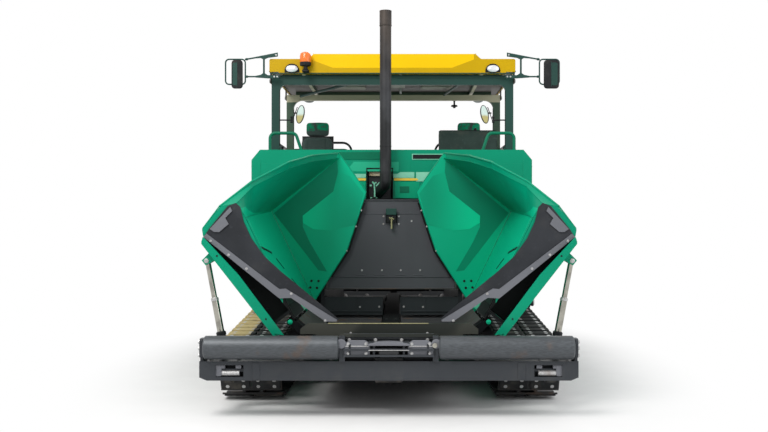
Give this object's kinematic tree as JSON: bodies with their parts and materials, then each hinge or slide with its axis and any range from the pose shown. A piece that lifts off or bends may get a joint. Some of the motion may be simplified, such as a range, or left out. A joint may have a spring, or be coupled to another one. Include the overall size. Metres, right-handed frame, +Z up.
{
  "type": "asphalt paver",
  "caption": "Tracked road paver: folding front hopper with push rollers and slat conveyors, hood with exhaust, roofed operator platform, augers and an extending screed on tow arms",
  "frame": {"origin": "on the ground, at the middle of the machine's length and width", "axes": "+Y from the push rollers to the screed, +X to the right seen from the front, +Z up"},
  "size_m": [3.804, 6.8, 3.764],
  "materials": {
    "painted_green": "satin green paint",
    "painted_dark": "dark grey paint",
    "painted_yellow": "satin yellow paint",
    "bare_steel": "worn steel",
    "rod_chrome": "polished rod",
    "track_rubber": "rubber and steel track",
    "flap_rubber": "matt rubber sheet",
    "cast_engine": "plain block",
    "exhaust_black": "heat-proof black",
    "lamp_plastic": "lamp glass and orange beacon",
    "seat_fabric": "black seat cover"
  },
  "bodies": {
    "chassis": {"main_frame": "painted_dark", "slat_conveyors": "bare_steel", "hopper_floor": "painted_dark", "hopper_rear_wall": "painted_dark", "conveyor_gates": "bare_steel", "track_left": "track_rubber", "track_right": "track_rubber", "track_frames": "painted_dark", "track_wheels": "bare_steel", "lower_body": "painted_green", "engine_block": "cast_engine", "engine_hood": "painted_green", "exhaust_stack": "exhaust_black", "hood_handrails": "painted_green", "operator_deck": "painted_dark", "operator_console": "painted_dark", "platform_railings": "painted_green", "access_steps": "painted_dark", "roof_pivots": "painted_dark", "tow_point_cylinders": "painted_dark", "lift_brackets": "painted_dark", "auger_carrier": "painted_dark"},
    "push_beam": {"push_beam": "painted_dark"},
    "push_roller_left": {"push_roller_left": "bare_steel"},
    "push_roller_right": {"push_roller_right": "bare_steel"},
    "hopper_apron": {"hopper_apron": "painted_dark"},
    "roof_portal": {"roof_portal": "painted_dark", "portal_mirrors": "painted_dark"},
    "roof_hoop": {"roof_hoop": "painted_dark"},
    "roof_canopy": {"roof_canopy": "painted_yellow", "roof_frame": "painted_dark", "roof_lights": "lamp_plastic", "roof_mirrors": "painted_dark"},
    "seat_left": {"seat_left": "seat_fabric"},
    "seat_right": {"seat_right": "seat_fabric"},
    "service_door_left": {"service_door_left": "painted_green"},
    "service_door_right": {"service_door_right": "painted_green"},
    "screed": {"tow_arms": "painted_green", "screed_base": "painted_dark"},
    "screed_extension_left": {"screed_extension_left": "painted_yellow"},
    "screed_extension_right": {"screed_extension_right": "painted_yellow"},
    "auger_left": {"auger_left": "bare_steel"},
    "auger_right": {"auger_right": "bare_steel"},
    "hopper_wing_left": {"hopper_wing_left": "painted_green", "wing_flap_left": "flap_rubber", "flap_clamp_left": "bare_steel"},
    "wing_cylinder_barrel_left": {"wing_cylinder_barrel_left": "painted_dark"},
    "wing_cylinder_sleeve_left": {"wing_cylinder_sleeve_left": "rod_chrome"},
    "wing_cylinder_rod_left": {"wing_cylinder_rod_left": "rod_chrome"},
    "lift_cylinder_barrel_left": {"lift_cylinder_barrel_left": "painted_dark"},
    "lift_cylinder_rod_left": {"lift_cylinder_rod_left": "rod_chrome"},
    "hopper_wing_right": {"hopper_wing_right": "painted_green", "wing_flap_right": "flap_rubber", "flap_clamp_right": "bare_steel"},
    "wing_cylinder_barrel_right": {"wing_cylinder_barrel_right": "painted_dark"},
    "wing_cylinder_sleeve_right": {"wing_cylinder_sleeve_right": "rod_chrome"},
    "wing_cylinder_rod_right": {"wing_cylinder_rod_right": "rod_chrome"},
    "lift_cylinder_barrel_right": {"lift_cylinder_barrel_right": "painted_dark"},
    "lift_cylinder_rod_right": {"lift_cylinder_rod_right": "rod_chrome"}
  },
  "joints": [
    {"name": "push_beam_swivel", "type": "hinge", "parent": "chassis", "child": "push_beam", "pos_m": [0, -3.24, 0.38], "axis": [0, 0, 1], "range_deg": [-3, 3]},
    {"name": "apron_tilt", "type": "hinge", "parent": "chassis", "child": "hopper_apron", "pos_m": [0, -3.097, 0.622], "axis": [1, 0, 0], "range_deg": [0, 75]},
    {"name": "roof_fold", "type": "hinge", "parent": "chassis", "child": "roof_portal", "pos_m": [0, 0, 2.4], "axis": [-1, 0, 0], "range_deg": [0, 60]},
    {"name": "roof_hoop_fold", "type": "hinge", "parent": "chassis", "child": "roof_hoop", "pos_m": [0, 1.4, 2.4], "axis": [-1, 0, 0], "range_deg": [0, 60]},
    {"name": "roof_canopy_level", "type": "hinge", "parent": "roof_portal", "child": "roof_canopy", "pos_m": [0, 0, 3.2], "axis": [-1, 0, 0], "range_deg": [-60, 0]},
    {"name": "screed_lift", "type": "hinge", "parent": "chassis", "child": "screed", "pos_m": [0, -1.25, 0.76], "axis": [1, 0, 0], "range_deg": [0, 7]},
    {"name": "push_roller_spin_left", "type": "hinge", "parent": "push_beam", "child": "push_roller_left", "pos_m": [-0.93, -3.306, 0.565], "axis": [1, 0, 0], "continuous": true},
    {"name": "wing_fold_left", "type": "hinge", "parent": "chassis", "child": "hopper_wing_left", "pos_m": [-0.815, -2.2, 0.742], "axis": [0, -1, 0], "range_deg": [0, 49]},
    {"name": "wing_barrel_swing_left", "type": "hinge", "parent": "chassis", "child": "wing_cylinder_barrel_left", "pos_m": [-1.33, -2.985, 0.3], "axis": [0, -1, 0], "range_deg": [0, 37.84]},
    {"name": "wing_sleeve_slide_left", "type": "slide", "parent": "wing_cylinder_barrel_left", "child": "wing_cylinder_sleeve_left", "axis": [0.1824, 0, -0.9832], "range_m": [0, 0.27619]},
    {"name": "wing_rod_slide_left", "type": "slide", "parent": "wing_cylinder_sleeve_left", "child": "wing_cylinder_rod_left", "axis": [0.1824, 0, -0.9832], "range_m": [0, 0.27619]},
    {"name": "seat_swivel_left", "type": "hinge", "parent": "chassis", "child": "seat_left", "pos_m": [-0.966, 0.95, 1.8], "axis": [0, 0, 1], "range_deg": [-20, 20]},
    {"name": "door_swing_left", "type": "hinge", "parent": "chassis", "child": "service_door_left", "pos_m": [-1.49, -0.75, 1.965], "axis": [0, 0, 1], "range_deg": [0, 110]},
    {"name": "screed_extend_left", "type": "slide", "parent": "screed", "child": "screed_extension_left", "axis": [-1, 0, 0], "range_m": [0, 1.15]},
    {"name": "lift_barrel_swing_left", "type": "hinge", "parent": "chassis", "child": "lift_cylinder_barrel_left", "pos_m": [-1.29, 1.99, 1.5], "axis": [1, 0, 0], "range_deg": [0, 12.12]},
    {"name": "lift_rod_slide_left", "type": "slide", "parent": "lift_cylinder_barrel_left", "child": "lift_cylinder_rod_left", "axis": [0, -0.3132, 0.9497], "range_m": [0, 0.3977]},
    {"name": "auger_spin_left", "type": "hinge", "parent": "chassis", "child": "auger_left", "pos_m": [-0.6, 2.09, 0.42], "axis": [1, 0, 0], "continuous": true},
    {"name": "push_roller_spin_right", "type": "hinge", "parent": "push_beam", "child": "push_roller_right", "pos_m": [0.93, -3.306, 0.565], "axis": [1, 0, 0], "continuous": true},
    {"name": "wing_fold_right", "type": "hinge", "parent": "chassis", "child": "hopper_wing_right", "pos_m": [0.815, -2.2, 0.742], "axis": [0, 1, 0], "range_deg": [0, 49]},
    {"name": "wing_barrel_swing_right", "type": "hinge", "parent": "chassis", "child": "wing_cylinder_barrel_right", "pos_m": [1.33, -2.985, 0.3], "axis": [0, 1, 0], "range_deg": [0, 37.84]},
    {"name": "wing_sleeve_slide_right", "type": "slide", "parent": "wing_cylinder_barrel_right", "child": "wing_cylinder_sleeve_right", "axis": [-0.1824, 0, -0.9832], "range_m": [0, 0.27619]},
    {"name": "wing_rod_slide_right", "type": "slide", "parent": "wing_cylinder_sleeve_right", "child": "wing_cylinder_rod_right", "axis": [-0.1824, 0, -0.9832], "range_m": [0, 0.27619]},
    {"name": "seat_swivel_right", "type": "hinge", "parent": "chassis", "child": "seat_right", "pos_m": [0.966, 0.95, 1.8], "axis": [0, 0, 1], "range_deg": [-20, 20]},
    {"name": "door_swing_right", "type": "hinge", "parent": "chassis", "child": "service_door_right", "pos_m": [1.49, -0.75, 1.965], "axis": [0, 0, -1], "range_deg": [0, 110]},
    {"name": "screed_extend_right", "type": "slide", "parent": "screed", "child": "screed_extension_right", "axis": [1, 0, 0], "range_m": [0, 1.15]},
    {"name": "lift_barrel_swing_right", "type": "hinge", "parent": "chassis", "child": "lift_cylinder_barrel_right", "pos_m": [1.29, 1.99, 1.5], "axis": [1, 0, 0], "range_deg": [0, 12.12]},
    {"name": "lift_rod_slide_right", "type": "slide", "parent": "lift_cylinder_barrel_right", "child": "lift_cylinder_rod_right", "axis": [0, -0.3132, 0.9497], "range_m": [0, 0.3977]},
    {"name": "auger_spin_right", "type": "hinge", "parent": "chassis", "child": "auger_right", "pos_m": [0.6, 2.09, 0.42], "axis": [1, 0, 0], "continuous": true}
  ],
  "couplings": [
    {"joint": "roof_hoop_fold", "follows": "roof_fold", "ratio": 1},
    {"joint": "roof_canopy_level", "follows": "roof_fold", "ratio": -1},
    {"joint": "wing_barrel_swing_left", "follows": "wing_fold_left", "ratio": 0.772},
    {"joint": "wing_sleeve_slide_left", "follows": "wing_fold_left", "m_per_rad": 0.32283},
    {"joint": "wing_rod_slide_left", "follows": "wing_fold_left", "m_per_rad": 0.32283},
    {"joint": "lift_barrel_swing_left", "follows": "screed_lift", "ratio": 1.7304},
    {"joint": "lift_rod_slide_left", "follows": "screed_lift", "m_per_rad": 3.2544},
    {"joint": "wing_barrel_swing_right", "follows": "wing_fold_right", "ratio": 0.772},
    {"joint": "wing_sleeve_slide_right", "follows": "wing_fold_right", "m_per_rad": 0.32283},
    {"joint": "wing_rod_slide_right", "follows": "wing_fold_right", "m_per_rad": 0.32283},
    {"joint": "lift_barrel_swing_right", "follows": "screed_lift", "ratio": 1.7304},
    {"joint": "lift_rod_slide_right", "follows": "screed_lift", "m_per_rad": 3.2544}
  ]
}
